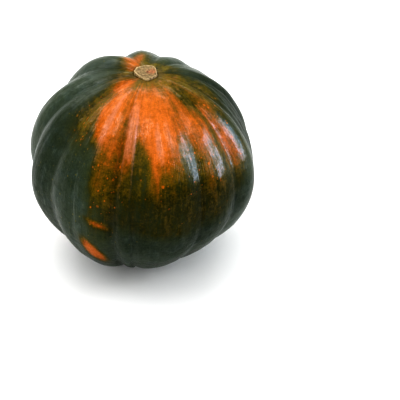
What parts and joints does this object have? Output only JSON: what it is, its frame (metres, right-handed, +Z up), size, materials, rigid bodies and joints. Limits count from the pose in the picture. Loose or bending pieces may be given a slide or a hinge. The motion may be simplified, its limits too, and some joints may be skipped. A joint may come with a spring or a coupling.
{
  "type": "acorn squash",
  "caption": "Whole acorn squash with a ribbed, waxy dark green and orange rind and a corky stump of its stem, standing upright on its blossom end.",
  "frame": {"origin": "on the ground under the middle of the squash, at the bottom centre of its box", "axes": "+Z up through the stem, -Y the front, where the orange patch is largest, +X to the right"},
  "size_m": [0.1398, 0.1414, 0.1277],
  "materials": {
    "rind": "waxy satin rind, blackish green with mottled vivid orange patches",
    "cork": "dry matt cork, tan brown with a paler rim"
  },
  "bodies": {
    "root": {"fruit": "rind", "stem_stump": "cork"}
  },
  "joints": []
}
